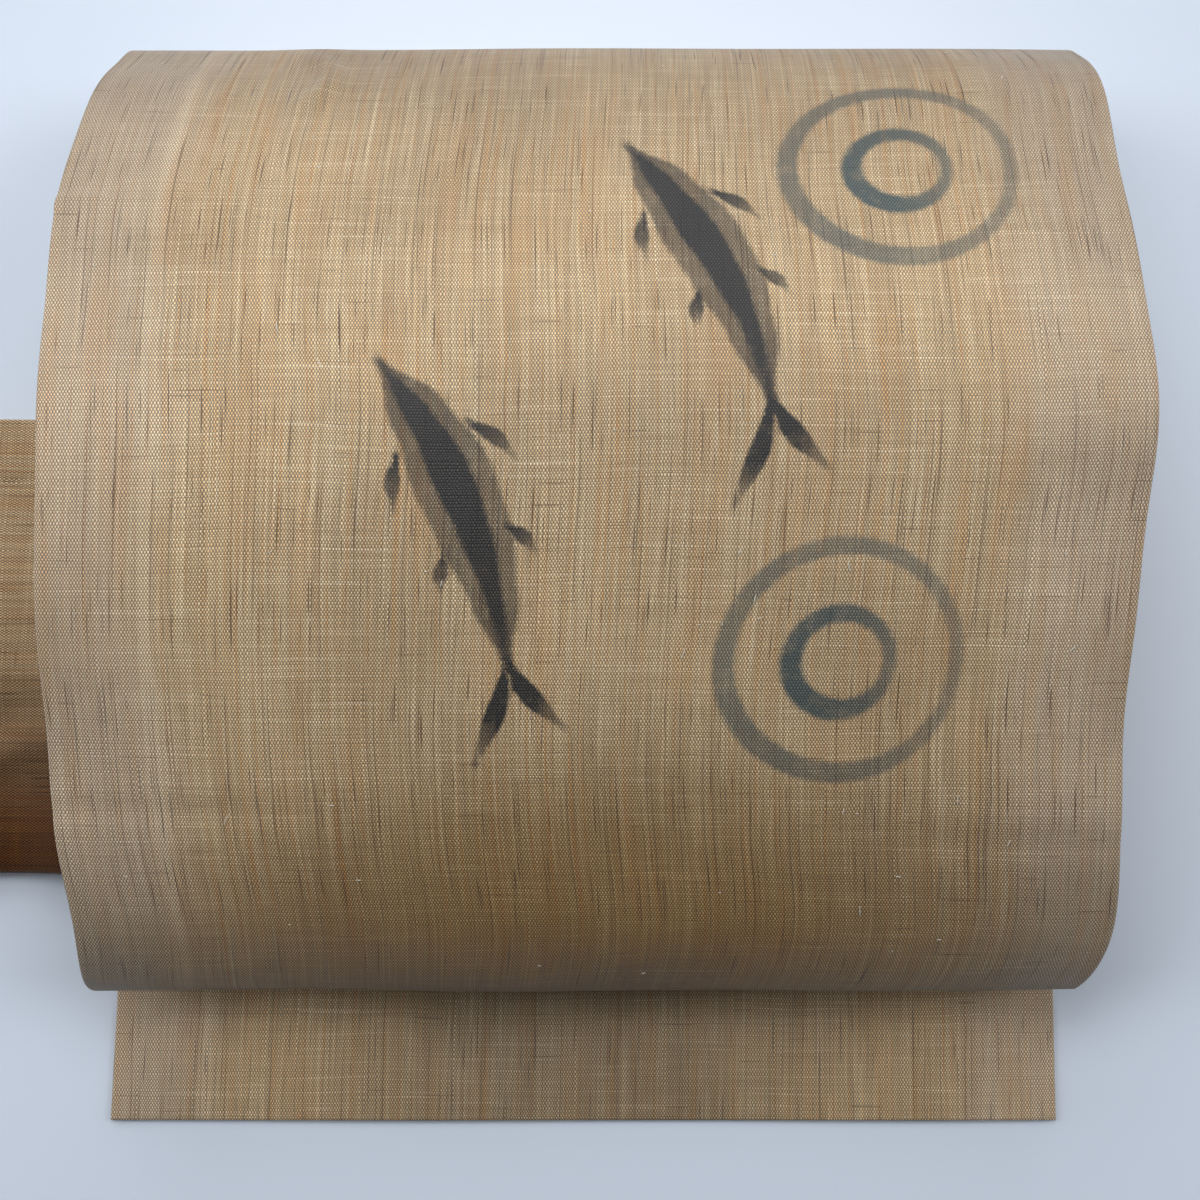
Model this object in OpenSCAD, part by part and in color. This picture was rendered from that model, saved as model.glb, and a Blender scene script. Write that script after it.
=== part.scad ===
// Kimono sash, a lined Nagoya obi, folded into its drum bow. The half-width waist
// band is folded up inside the bow, with its free end, the te tip, showing at the
// left, and an obi pillow lies on it and fills out the drum.
// X runs across the cloth, +Y towards the top fold of the drum, +Z up.
// The origin is on the surface that the sash lies on, in the middle of its width.

/* [Cloth] */
// Width of the sash where it is opened out
cloth_w = 310; // [300:1:315]
// Thickness of the face cloth
face_t = 0.5; // [0.4:0.05:0.5]
// Thickness of the interlining of the bow
core_t = 1.1; // [0.8:0.05:1.1]
// Thickness of the lining
lining_t = 0.5; // [0.4:0.05:0.5]

/* [Drum] */
// How far the drum reaches behind the origin
drum_back = 160; // [156:1:163]
// How far the drum reaches in front of the origin
drum_front = 146; // [145:1:150]
// Height of the drum's crown
crown_h = 94; // [93:0.5:97]
// Radius of the fold at the top of the drum
back_r = 26; // [20:1:28]
// Radius of the fold at the bottom of the drum
front_r = 14; // [13:0.5:14.5]
// Length of the tare flap that lifts, in front of the drum
tare_l = 41; // [30:1:80]

/* [Waist band] */
// Width of the half-width band
band_w = 152; // [150:1:154]
// Thickness of the interlining in the band
band_core_t = 1.6; // [1.2:0.1:1.6]
// Length of the te tip that lifts
te_l = 57; // [45:1:80]
// Height from one folded run of the band to the next
run_pitch = 3.4; // [3.2:0.1:3.4]

/* [Obi pillow] */
// Length of the pillow
pillow_l = 220; // [180:5:220]
// Depth of the pillow, front to back
pillow_d = 100; // [90:1:100]

/* [Hidden] */

TAN = [0.76, 0.64, 0.47];
PALE_TAN = [0.82, 0.74, 0.62];
RAW_COTTON = [0.90, 0.87, 0.79];
THREAD = [0.86, 0.80, 0.68];
GAUZE = [0.94, 0.93, 0.90];
FOAM = [0.90, 0.86, 0.70];

gap = 0.1;                                  // air between layers that lie on each other
cut = 0.3;                                  // slit between the two sides of a fold that hinges
half_w = cloth_w / 2;
cloth_t = face_t + core_t + lining_t;
band_t = 2 * face_t + band_core_t;
band_front = -112;
band_back = band_front + band_w;
last_run = 6;                               // the seven runs are numbered from 0, the te run

// Heights of what lies on what, from the table up
turn_z = band_t + gap;                      // the doubled corner where the band turns sideways
tare_run_z = turn_z + band_t + gap;         // underside of the tare's hidden run
runs_z = tare_run_z + cloth_t + gap;        // underside of the lowest folded run
runs_top = runs_z + last_run * run_pitch + band_t;
inner_z = runs_top + 0.2;                   // underside of the inner panel over the runs
pillow_z = inner_z + cloth_t + 0.5;

// ---- Curves ----

function arc(c, r, a0, a1, n) =
    [for (i = [0:n]) let (a = a0 + (a1 - a0) * i / n) c + r * [cos(a), sin(a)]];

function smooth(t) = let (u = min(1, max(0, t))) u * u * (3 - 2 * u);

// One stretch of a Catmull-Rom curve, from b to c
function stretch(a, b, c, d, n) =
    [for (i = [1:n]) let (t = i / n)
        0.5 * (2 * b + (c - a) * t + (2 * a - 5 * b + 4 * c - d) * t * t
            + (3 * b - 3 * c + d - a) * t * t * t)];

function curve(points, n) =
    [for (i = [1:len(points) - 3])
        each stretch(points[i - 1], points[i], points[i + 1], points[i + 2], n)];

function unit(v) = v / norm(v);

// The left-hand normal at point i of a path, longer at a bend so that offsets stay parallel
function side(path, i) =
    let (n = len(path) - 1,
        u = unit(path[max(i, 1)] - path[max(i, 1) - 1]),
        v = unit(path[min(i, n - 1) + 1] - path[min(i, n - 1)]),
        m = unit([-u[1] - v[1], u[0] + v[0]]))
    m / (m * [-u[1], u[0]]);

// The outline of a layer that lies between two offsets to the left of a path
function layer(path, low, high) =
    concat([for (i = [0:len(path) - 1]) path[i] + side(path, i) * low],
        [for (i = [len(path) - 1:-1:0]) path[i] + side(path, i) * high]);

// Draws a (Y, Z) outline as a solid that runs along X
module along_x(outline, x0, x1)
    translate([x0, 0, 0]) rotate([90, 0, 90]) linear_extrude(x1 - x0) polygon(outline);

// Draws an (X, Z) outline as a solid that runs along Y
module along_y(outline, y0, y1)
    translate([0, y1, 0]) rotate([90, 0, 0]) linear_extrude(y1 - y0) polygon(outline);

// ---- The bow: one length of cloth, drawn along its face side ----

back_start = 50;                            // where the sash narrows to the waist band
inner_back = 42;                            // where the inner panel turns down round the runs
wrap_r = 4;
tuck_r = (inner_z - tare_run_z - cloth_t) / 2;
loop_c = [front_r - drum_front, 25];
hinge_y = -drum_front - 5;

// Crown of the drum, as shares of its reach and height
crown = [
    [0.97 * drum_back, 0.46 * crown_h],
    [0.80 * drum_back, 0.69 * crown_h],
    [0.56 * drum_back, 0.87 * crown_h],
    [0.26 * drum_back, 1.00 * crown_h],
    [-0.03 * drum_front, 0.94 * crown_h],
    [-0.345 * drum_front, 0.81 * crown_h],
    [-0.655 * drum_front, 0.64 * crown_h],
    [-0.885 * drum_front, 0.485 * crown_h],
];

fall_l = 22;                                // length over which the tare run drops to the table
tare_fall = [for (i = [0:8]) let (share = i / 8)
    [band_front - 1 - fall_l * share, cloth_t + tare_run_z * (1 - smooth(share))]];

bow_path = concat(
    [[back_start, 0]],
    arc([drum_back - back_r, back_r], back_r, -90, 0, 10),
    curve(concat([[drum_back, 0]], [[drum_back, back_r]], crown,
        [[-drum_front, loop_c[1]]], [[-drum_front, 0]]), 6),
    [for (p = arc(loop_c, front_r, 198, 360, 14)) p],
    arc([band_front - 1, inner_z - wrap_r], wrap_r, 180, 90, 5),
    arc([inner_back, inner_z - tuck_r], tuck_r, 90, -90, 14),
    tare_fall,
    [[hinge_y, cloth_t]]);

tare_path = [[hinge_y - cut, cloth_t], [hinge_y - tare_l, cloth_t]];

module bow_layer(low, high) along_x(layer(bow_path, low, high), -half_w, half_w);

module tare_layer(low, high) along_x(layer(tare_path, low, high), -half_w, half_w);

module bow_face_cloth() color(TAN) bow_layer(0, face_t);

module bow_interlining() color(RAW_COTTON) bow_layer(face_t, face_t + core_t);

module bow_lining() color(PALE_TAN) bow_layer(face_t + core_t, cloth_t);

// The thread that closes one long edge of the bow
seam_w = 0.4;
module bow_seam(x) color(THREAD) along_x(layer(bow_path, face_t, cloth_t - lining_t / 2), x, x + seam_w);

module bow_seam_left() bow_seam(-half_w - seam_w);

module bow_seam_right() bow_seam(half_w);

module tare_face_cloth() color(TAN) tare_layer(0, face_t);

module tare_interlining() color(RAW_COTTON) tare_layer(face_t, face_t + core_t);

module tare_lining() color(PALE_TAN) tare_layer(face_t + core_t, cloth_t);

// The thread along the two sides and the end of the tare
module tare_seam() color(THREAD) {
    seam = layer(tare_path, face_t, cloth_t - lining_t / 2);
    for (x = [-half_w - seam_w, half_w]) along_x(seam, x, x + seam_w);
    translate([-half_w, hinge_y - tare_l - seam_w, lining_t / 2])
        cube([cloth_w, seam_w, core_t + lining_t / 2]);
}

// ---- The waist band: a sleeve of face cloth round its interlining ----

fold_x = 143;                               // where the runs turn back
entry_x = 150;                              // where the last run turns down to the table
te_x = -half_w - 3;                         // the fold that lets the te tip lift
te_fall = [-half_w - 0.5, -192];            // where the te run starts to drop, and meets the table

function run_mid(i) = runs_z + band_t / 2 + i * run_pitch;

function te_mid(x) =
    band_t / 2 + runs_z * smooth((x - te_fall[1]) / (te_fall[0] - te_fall[1]));

function te_points(x0, x1, n) = [for (i = [0:n]) let (x = x0 + (x1 - x0) * i / n) [x, te_mid(x)]];

// The turns at the ends of run i, which goes to the right when i is even
function turn(i) = i % 2 == 0
    ? arc([fold_x, run_mid(i) + run_pitch / 2], run_pitch / 2, -90, 90, 8)
    : arc([-fold_x, run_mid(i) + run_pitch / 2], run_pitch / 2, 270, 90, 8);

entry_r = (run_mid(last_run) - band_t / 2) / 2;

band_path = concat(
    te_points(te_x, te_fall[0], 3),
    [for (i = [0:last_run - 1]) each turn(i)],
    arc([entry_x, band_t / 2 + entry_r], entry_r, 90, -90, 16),
    [[-half_w, band_t / 2]]);

te_path = te_points(te_x - cut, te_x - te_l, 14);

// The band's start turns through a right angle here, with its fold along a diagonal
corner_inset = 3;
corner_l = band_w - corner_inset;
corner_start = [-half_w, band_back - corner_inset];
corner_end = corner_start + [corner_l, -corner_l];

// Everything to the left of the diagonal fold, under the doubled corner
module beyond_fold() translate([0, 0, -1]) linear_extrude(band_t + 1.01)
    polygon([corner_start, corner_end, corner_end - [0, 1], corner_end - [corner_l + 1, 1],
        corner_start - [1, 0]]);

module band_sleeve(path, inset)
    along_y(layer(path, inset - band_t / 2, band_t / 2 - inset), band_front + inset, band_back - inset);

// The wall of cloth that joins the two layers along the diagonal
module fold_wall(height) translate(corner_start) rotate(-45) translate([corner_inset, 0, 0])
    cube([corner_l * sqrt(2) - 2 * corner_inset, 1, height]);

// The band's start lies over its own diagonal fold, then on the opened-out bow
ramp_l = 12;
module band_turn() {
    translate([0, 0, turn_z]) linear_extrude(band_t)
        polygon([corner_start, corner_end, corner_end + [corner_inset, 0],
            [-half_w + band_w, back_start], [-half_w, back_start]]);
    along_x([[back_start, turn_z], [back_start, turn_z + band_t],
        [back_start + ramp_l, cloth_t + band_t], [back_start + ramp_l, cloth_t]],
        -half_w, -half_w + band_w);
    fold_wall(turn_z + band_t / 2);
}

module band_cloth() color(TAN) {
    difference() {
        band_sleeve(band_path, 0);
        band_sleeve(band_path, face_t);
        beyond_fold();
    }
    band_turn();
}

module band_interlining() color(RAW_COTTON) difference() {
    band_sleeve(band_path, face_t);
    beyond_fold();
    translate([0, 0, -1]) fold_wall(turn_z + 1);
}

// The two bars of thread that stop the seam where the band opens out into the bow
module band_bar_tacks() color(THREAD)
    for (x = [-half_w + 12, -half_w + band_w - 22])
        translate([x, back_start + ramp_l + 1, cloth_t]) cube([10, 1.2, 0.6]);

module te_cloth() color(TAN) difference() {
    band_sleeve(te_path, 0);
    translate([face_t, 0, 0]) band_sleeve(te_path, face_t);
}

module te_interlining() color(RAW_COTTON) intersection() {
    translate([face_t, 0, 0]) band_sleeve(te_path, face_t);
    band_sleeve(te_path, 0);
}

// The stitching across the end of the te tip
module te_seam() color(THREAD)
    translate([te_x - te_l - seam_w, band_front, face_t])
        cube([seam_w, band_w, band_core_t]);

// ---- The obi pillow, a foam loaf in a gauze tube whose ends are its ties ----

gauze_t = 0.8;
pillow_y = 24;
pillow_h = 0.955 * crown_h - pillow_z;
pillow_lean = 14;                           // its crown leans towards the back
mouth_z = pillow_z + pillow_h / 2;

// A superellipse about the origin, squarer below its middle than above it
function loaf_outline(a, b, above, below) =
    [for (t = [0:7.5:352.5]) let (share = 2 / (sin(t) < 0 ? below : above))
        [a * sign(cos(t)) * pow(abs(cos(t)), share), b * sign(sin(t)) * pow(abs(sin(t)), share)]];

// The pillow as seen from its end, from the front and from above
module pillow_loaf(inset) {
    a = pillow_l / 2 - inset;
    d = pillow_d / 2 - inset;
    h = pillow_h / 2 - inset;
    translate([0, pillow_y, mouth_z]) intersection() {
        along_x([for (p = loaf_outline(d, h, 2.2, 4)) [p[0] + pillow_lean * p[1] / pillow_h, p[1]]], -a, a);
        along_y(loaf_outline(a, h, 3.5, 6), -pillow_d, pillow_d);
        linear_extrude(2 * h, center = true)
            polygon(loaf_outline(a, d + pillow_lean / 2, 5, 5));
    }
}

module pillow_core() color(FOAM) pillow_loaf(gauze_t + 0.05);

// The gauze has a slot at each end, where the tube closes in to become a tie
slot_w = 46;
slot_h = 4;
module pillow_gauze() color(GAUZE) difference() {
    pillow_loaf(0);
    pillow_loaf(gauze_t);
    translate([0, pillow_y, mouth_z]) cube([2 * pillow_l, slot_w, slot_h], center = true);
}

// A gauze tie leaves the pillow's end, drops to the cloth and is folded to and fro there
tie_t = 0.5;
tie_w = 44;
tie_pitch = 0.7;
tie_runs = 16;
tie_in = pillow_l / 2 + 3;
tie_out = tie_in + 34;
tie_bend = 4;
tie_top = pillow_z + tie_t / 2 + tie_runs * tie_pitch;

// The fold between one run and the one below it, alternately at the outer and inner end
function tie_fold(i) = i % 2 == 0
    ? arc([tie_out, tie_top - tie_pitch * (i + 0.5)], tie_pitch / 2, 90, -90, 4)
    : arc([tie_in, tie_top - tie_pitch * (i + 0.5)], tie_pitch / 2, 90, 270, 4);

tie_path = concat(
    [[pillow_l / 2 - gauze_t, mouth_z]],
    arc([tie_in, mouth_z - tie_bend], tie_bend, 90, 0, 5),
    arc([tie_in + 2 * tie_bend, tie_top + tie_bend], tie_bend, 180, 270, 5),
    [for (i = [0:tie_runs - 1]) each tie_fold(i)],
    [[tie_out - tie_bend, tie_top - tie_pitch * tie_runs]]);

module pillow_tie() color(GAUZE)
    along_y(layer(tie_path, -tie_t / 2, tie_t / 2), pillow_y - tie_w / 2, pillow_y + tie_w / 2);

module pillow_tie_right() pillow_tie();

module pillow_tie_left() mirror([1, 0, 0]) pillow_tie();

bow_face_cloth();
bow_interlining();
bow_lining();
bow_seam_left();
bow_seam_right();
band_cloth();
band_interlining();
band_bar_tacks();
tare_face_cloth();
tare_interlining();
tare_lining();
tare_seam();
te_cloth();
te_interlining();
te_seam();
pillow_core();
pillow_gauze();
pillow_tie_left();
pillow_tie_right();
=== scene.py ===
import math

import bmesh
import bpy
import numpy as np
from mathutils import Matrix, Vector


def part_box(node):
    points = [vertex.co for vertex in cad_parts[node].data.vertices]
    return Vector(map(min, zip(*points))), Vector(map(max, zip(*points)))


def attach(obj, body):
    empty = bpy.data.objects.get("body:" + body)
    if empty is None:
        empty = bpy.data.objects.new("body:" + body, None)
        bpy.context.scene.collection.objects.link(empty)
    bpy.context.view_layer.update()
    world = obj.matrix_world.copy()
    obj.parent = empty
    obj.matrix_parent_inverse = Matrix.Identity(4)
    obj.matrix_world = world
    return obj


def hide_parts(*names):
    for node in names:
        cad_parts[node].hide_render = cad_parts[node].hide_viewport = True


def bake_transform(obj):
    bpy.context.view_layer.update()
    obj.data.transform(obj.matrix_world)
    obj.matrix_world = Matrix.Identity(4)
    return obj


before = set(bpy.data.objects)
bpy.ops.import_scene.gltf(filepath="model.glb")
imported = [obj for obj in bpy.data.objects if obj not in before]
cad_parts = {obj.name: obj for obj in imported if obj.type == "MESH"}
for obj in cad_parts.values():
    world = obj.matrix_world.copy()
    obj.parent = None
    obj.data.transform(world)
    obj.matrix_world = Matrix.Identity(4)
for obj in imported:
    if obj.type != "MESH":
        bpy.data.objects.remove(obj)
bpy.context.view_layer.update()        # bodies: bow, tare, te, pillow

MM = 0.001


def node_box(name):
    lo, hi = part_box(name)
    return np.array(lo) / MM, np.array(hi) / MM


BOW_LO, BOW_HI = node_box("bow_face_cloth")
TARE_LO, _ = node_box("tare_face_cloth")
BAND_LO, BAND_HI = node_box("band_cloth")
TE_LO, TE_HI = node_box("te_cloth")
PILLOW_LO, PILLOW_HI = node_box("pillow_gauze")
TIE_LO, TIE_HI = node_box("pillow_tie_right")

HALF_W = BOW_HI[0]
DRUM_BACK = BOW_HI[1]
TARE_FALL = 4.7                         # the bow's cloth goes this far past the drum's front
DRUM_FRONT = -BOW_LO[1] - TARE_FALL
CROWN_H = 94.0
ASKEW = 0.0157                          # how far the sash leans sideways along its length
FACE_T, CORE_T, LINING_T = 0.5, 1.1, 0.5
CLOTH_T = FACE_T + CORE_T + LINING_T
GAP = 0.1
BAND_CORE_T = 1.6
CORE_INSET = 1.7                        # the bow's interlining stops this short of the edges
BAND_T = 2 * FACE_T + BAND_CORE_T
BAND_FRONT, BAND_BACK = BAND_LO[1], TE_HI[1]
RUNS = 6                                # layers of the band, folded to and fro in the bow
RUN_PITCH = 3.4
TURN_Z = BAND_T + GAP
TARE_RUN_Z = TURN_Z + BAND_T + GAP
RUNS_Z = TARE_RUN_Z + CLOTH_T + GAP
INNER_Z = RUNS_Z + RUNS * RUN_PITCH + BAND_T + 0.2


# ---- Curves and sweeps ----

def smooth(t):
    """Eases from 0 to 1 as t goes from 0 to 1."""
    u = np.clip(t, 0, 1)
    return u * u * (3 - 2 * u)


def bump(x, middle, spread):
    return np.exp(-((x - middle) / spread) ** 2 / 2)


def arc(c, r, a0, a1, n):
    """n + 1 points round c, from a0 to a1 degrees."""
    a = np.radians(np.linspace(a0, a1, n + 1))
    return np.c_[c[0] + r * np.cos(a), c[1] + r * np.sin(a)]


def curve(points, n=16):
    """A Catmull-Rom curve through all but the first and last of the points."""
    p = np.array(points, float)
    t = (np.arange(1, n + 1) / n)[:, None]
    parts = [p[1:2]]
    for a, b, c, d in zip(p, p[1:], p[2:], p[3:]):
        parts.append(0.5 * (2 * b + (c - a) * t + (2 * a - 5 * b + 4 * c - d) * t ** 2
                            + (3 * b - 3 * c + d - a) * t ** 3))
    return np.vstack(parts)


def lengths(points):
    return np.r_[0, np.cumsum(np.linalg.norm(np.diff(points, axis=0), axis=1))]


class Path:
    """A planar line that a sheet follows, with the left-hand normal at each length s."""

    def __init__(self, points):
        keep = np.r_[True, np.linalg.norm(np.diff(points, axis=0), axis=1) > 1e-4]
        points = np.asarray(points)[keep]
        s = lengths(points)
        self.length = s[-1]
        self.s = np.linspace(0, self.length, int(self.length / 0.4) + 2)
        self.xy = np.c_[np.interp(self.s, s, points[:, 0]), np.interp(self.s, s, points[:, 1])]
        tangent = np.gradient(self.xy, self.s, axis=0)
        soft = np.ones(5) / 5
        for k in range(2):
            padded = np.pad(tangent[:, k], 2, mode="edge")
            tangent[:, k] = np.convolve(padded, soft, "valid")
        tangent /= np.linalg.norm(tangent, axis=1)[:, None]
        self.normal = np.c_[-tangent[:, 1], tangent[:, 0]]
        turning = np.gradient(np.unwrap(np.arctan2(tangent[:, 1], tangent[:, 0])), self.s)
        self.bend = np.abs(turning)

    def at(self, s):
        p = [np.interp(s, self.s, self.xy[:, k]) for k in range(2)]
        n = [np.interp(s, self.s, self.normal[:, k]) for k in range(2)]
        return p, n

    def rows(self, longest, fine=None):
        """Lengths to put a row of points at, closer where the path bends or fine(s) asks."""
        found, s = [0.0], 0.0
        while s < self.length:
            bend = np.interp(s, self.s, self.bend)
            step = min(longest, max(0.6, 0.3 / max(bend, 1e-6)))
            if fine is not None:
                step = min(step, fine(s))
            s += step
            found.append(min(s, self.length))
        if found[-1] - found[-2] < 0.2:
            found.pop(-2)
        return np.array(found)


def build(name, co, faces, cloth=None, smooth_shaded=True):
    mesh = bpy.data.meshes.new(name)
    mesh.from_pydata((np.asarray(co) * MM).tolist(), [], faces)
    if cloth is not None:
        layer = mesh.attributes.new("cloth", "FLOAT_VECTOR", "POINT")
        layer.data.foreach_set("vector", np.asarray(cloth, np.float32).ravel())
    mesh.polygons.foreach_set("use_smooth", [smooth_shaded] * len(mesh.polygons))
    mesh.update()
    piece = bpy.data.objects.new(name, mesh)
    bpy.context.scene.collection.objects.link(piece)
    return piece


def outward(piece):
    bm = bmesh.new()
    bm.from_mesh(piece.data)
    bmesh.ops.recalc_face_normals(bm, faces=bm.faces)
    bm.to_mesh(piece.data)
    bm.free()
    return piece


def sweep(name, rows, ring, place):
    """A closed ring of (w, offset) points carried along the rows. place(w, s, offset) gives
    points. Returns the piece and the (w, s) of its points."""
    w, offset = (ring[:, k][None, :].repeat(len(rows), 0) for k in range(2))
    s = rows[:, None].repeat(len(ring), 1)
    co = place(w, s, offset).reshape(-1, 3)
    n, m = w.shape
    i, j = np.meshgrid(np.arange(n - 1), np.arange(m), indexing="ij")
    k = (j + 1) % m
    quads = np.stack([i * m + j, i * m + k, (i + 1) * m + k, (i + 1) * m + j], -1)
    faces = quads.reshape(-1, 4).tolist()
    faces += [list(range(m - 1, -1, -1)), list(range((n - 1) * m, n * m))]
    cloth = np.stack([w, s, offset], -1).reshape(-1, 3) * MM
    return outward(build(name, co, faces, cloth)), w.ravel(), s.ravel()


def flat_ring(half, low, high, step, round_n=4):
    """The section of a flat sheet with round edges, as (w, offset)."""
    r = (high - low) / 2
    across = np.linspace(-half + r, half - r, max(2, int(2 * half / step)))
    top = np.c_[across, np.full(len(across), low)]
    bottom = top[::-1] * [1, 0] + [0, high]
    right = arc((half - r, low + r), r, -90, 90, round_n * 2)[1:-1]
    left = arc((-half + r, low + r), r, 90, 270, round_n * 2)[1:-1]
    return np.vstack([top, right, bottom, left])


# ---- The bow and the tare ----

CROWN = [
    (0.97 * DRUM_BACK, 0.46 * CROWN_H), (0.80 * DRUM_BACK, 0.69 * CROWN_H),
    (0.56 * DRUM_BACK, 0.87 * CROWN_H), (0.26 * DRUM_BACK, 1.00 * CROWN_H),
    (-0.03 * DRUM_FRONT, 0.94 * CROWN_H), (-0.345 * DRUM_FRONT, 0.81 * CROWN_H),
    (-0.655 * DRUM_FRONT, 0.64 * CROWN_H), (-0.885 * DRUM_FRONT, 0.485 * CROWN_H),
]
BACK_R, FRONT_R, WRAP_R = 26, 14, 4
TUCK_R = (INNER_Z - TARE_RUN_Z - CLOTH_T) / 2
LOOP = (FRONT_R - DRUM_FRONT, 25)
FALL_L = 22
HINGE_Y = -DRUM_FRONT - 5.15


def bow_line():
    fall = [(BAND_FRONT - 1 - FALL_L * t, CLOTH_T + TARE_RUN_Z * (1 - smooth(t)))
            for t in np.linspace(0, 1, 17)]
    return np.vstack([
        [[50, 0]],
        arc((DRUM_BACK - BACK_R, BACK_R), BACK_R, -90, 0, 24),
        curve([(DRUM_BACK, 0), (DRUM_BACK, BACK_R), *CROWN, (-DRUM_FRONT, LOOP[1]), (-DRUM_FRONT, 0)]),
        arc(LOOP, FRONT_R, 198, 360, 30),
        arc((BAND_FRONT - 1, INNER_Z - WRAP_R), WRAP_R, 180, 90, 10),
        arc((42, INNER_Z - TUCK_R), TUCK_R, 90, -90, 28),
        fall,
        [[TARE_LO[1], CLOTH_T]],
    ])


BOW = Path(bow_line())
S_CROWN = BOW.s[int(np.argmax(BOW.xy[:, 1]))]
V_BACK, V_FRONT = -150, 200             # the drum's face, from its top fold to its bottom fold


def v_of(s):
    return s - S_CROWN


def drum_share(v):
    """1 on the drum's open face, falling to 0 where the cloth goes in under it."""
    return smooth((v - V_BACK) / 35) * smooth((V_FRONT + 15 - v) / 30)


def sideways(s, y):
    """The whole sash lies a little askew, and the drum's cloth waves from side to side."""
    v = v_of(s)
    wave = (1.3 * bump(v, 20, 18) - 1.3 * bump(v, 98, 22) + 3.0 * bump(v, 168, 17)
            - 1.0 * bump(v, -58, 20))
    return ASKEW * y + wave * drum_share(v)


def drum_lift(w, v):
    """How far the drum's face stands proud of its plain curve: slow waves, fold marks."""
    edge = np.abs(w / HALF_W) ** 3
    slow = (0.7 * np.sin(w / 38 + 0.8) * np.sin(v / 31 + 0.4)
            + 0.5 * np.sin(w / 23 - v / 55) + 0.35 * np.sin(w / 61 + v / 17 + 1.0))
    flutter = edge * (1.6 * np.sin(v / 19 + 0.7 * np.sign(w)) + 0.8 * np.sin(v / 9.5))
    swell = 1.6 * bump(w, -92, 9) * bump(v, -134, 9)
    crease = (-0.5 * bump(v, 129, 2.5) * smooth((-60 - w) / 40)
              - 0.4 * bump(v, 139, 3) * smooth((w - 70) / 40))
    nick = 1.0 * bump(v, -52 + 0.02 * (w + 146) ** 2, 1.8) * smooth((-136 - w) / 6)
    return slow + flutter + swell + crease + nick


def pucker(w, v):
    """A curved pucker in the face silk alone, near the drum's top left corner."""
    r = np.hypot(w + 104, v + 108)
    return 2.0 * bump(r, 20, 3.0) * smooth((w + 96) / 10) * smooth((30 - np.abs(v + 106)) / 12)


def tare_lift(w, y):
    share = smooth((-152 - y) / 12)
    return share * 0.35 * (1 + np.sin(w / 27 + 0.5) * np.cos(y / 9)) * (1 - (w / HALF_W) ** 8)


def place_bow(w, s, offset):
    (y, z), (ny, nz) = BOW.at(s)
    v = v_of(s)
    share = drum_share(v)
    lift = (drum_lift(w, v) + np.where(offset < FACE_T / 2, pucker(w, v), 0)) * share
    fold = smooth((v - 175) / 20) * smooth((236 - v) / 14)
    droop = fold * (0.9 * np.sin(w / 43 + 0.6) + 0.5 * np.sin(w / 17))
    end = np.clip((s - (BOW.length - CLOTH_T / 2)) / (CLOTH_T / 2), 0, 0.995)
    pinch = np.sqrt(1 - end ** 2)
    offset = CLOTH_T / 2 + (offset - CLOTH_T / 2) * pinch
    y = y + ny * (offset - lift)
    z = z + nz * (offset - lift) - droop
    under = s > BOW.length - (HINGE_Y - TARE_LO[1]) - 20
    z = z + np.where(under, tare_lift(w, y), 0)
    x = w * (1 - 0.006 * bump(v, 197, 12) * (w > 0)) + sideways(s, y)
    return np.stack([x, y, z], -1)


def fine_rows(s):
    return 2.0 if V_BACK - 8 < v_of(s) < V_FRONT + 12 or s > BOW.length - 60 else 9.0


def end_rows(rows):
    """Adds rows that close in round the tare's end."""
    turn = BOW.length - CLOTH_T / 2 * (1 - np.sin(np.radians([0, 25, 45, 62, 78])))
    return np.r_[rows[rows < turn[0] - 0.3], turn, BOW.length]


HEM_W = 3.5


def face_ring():
    """The face cloth's section: across the face, round both edges, and a turned hem inside."""
    r = CLOTH_T / 2
    flat_w = HALF_W - r
    top = np.linspace(-flat_w, flat_w, int(2 * flat_w / 2.0) + 1)
    outer = np.vstack([
        [[-HALF_W + HEM_W, CLOTH_T]],
        arc((-flat_w, r), r, 90, 270, 10)[:-1],
        np.c_[top, np.zeros(len(top))],
        arc((flat_w, r), r, -90, 90, 10)[1:],
        [[HALF_W - HEM_W, CLOTH_T]],
    ])
    ri = r - FACE_T
    low = np.linspace(flat_w, -flat_w, 40)
    inner = np.vstack([
        [[HALF_W - HEM_W, CLOTH_T - FACE_T]],
        arc((flat_w, r), ri, 90, -90, 8)[:-1],
        np.c_[low, np.full(len(low), FACE_T)],
        arc((-flat_w, r), ri, 270, 90, 8)[1:],
        [[-HALF_W + HEM_W, CLOTH_T - FACE_T]],
    ])
    return np.vstack([outer, inner])


# ---- Brush strokes: distance from each stroke's line, half width, tone, softness ----

END_FADE = 2.6                          # a stroke's tip fades out over this length
SIDE_FADE = (3.5, 3.0)                  # past its edge, a stroke's tone stays on and then fades
REACH = 9                               # a stroke is worked out this far past its edge
FAR = 99                                # the distance noted where no stroke is near


def brush(line, widths, tones, soft):
    """A stroke along a curve through the (w, v) points. widths and tones run along it."""
    p = np.array(line, float)
    p = np.vstack([2 * p[0] - p[1], p, 2 * p[-1] - p[-2]])
    return {"line": curve(p, 24), "widths": widths, "tones": tones, "soft": soft}


def along(values, t):
    """Values set at even steps along a stroke, eased from one to the next."""
    place = np.clip(t, 0, 1) * (len(values) - 1)
    low = np.minimum(place.astype(int), len(values) - 2)
    values = np.array(values, float)
    return values[low] + (values[low + 1] - values[low]) * smooth(place - low)


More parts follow.
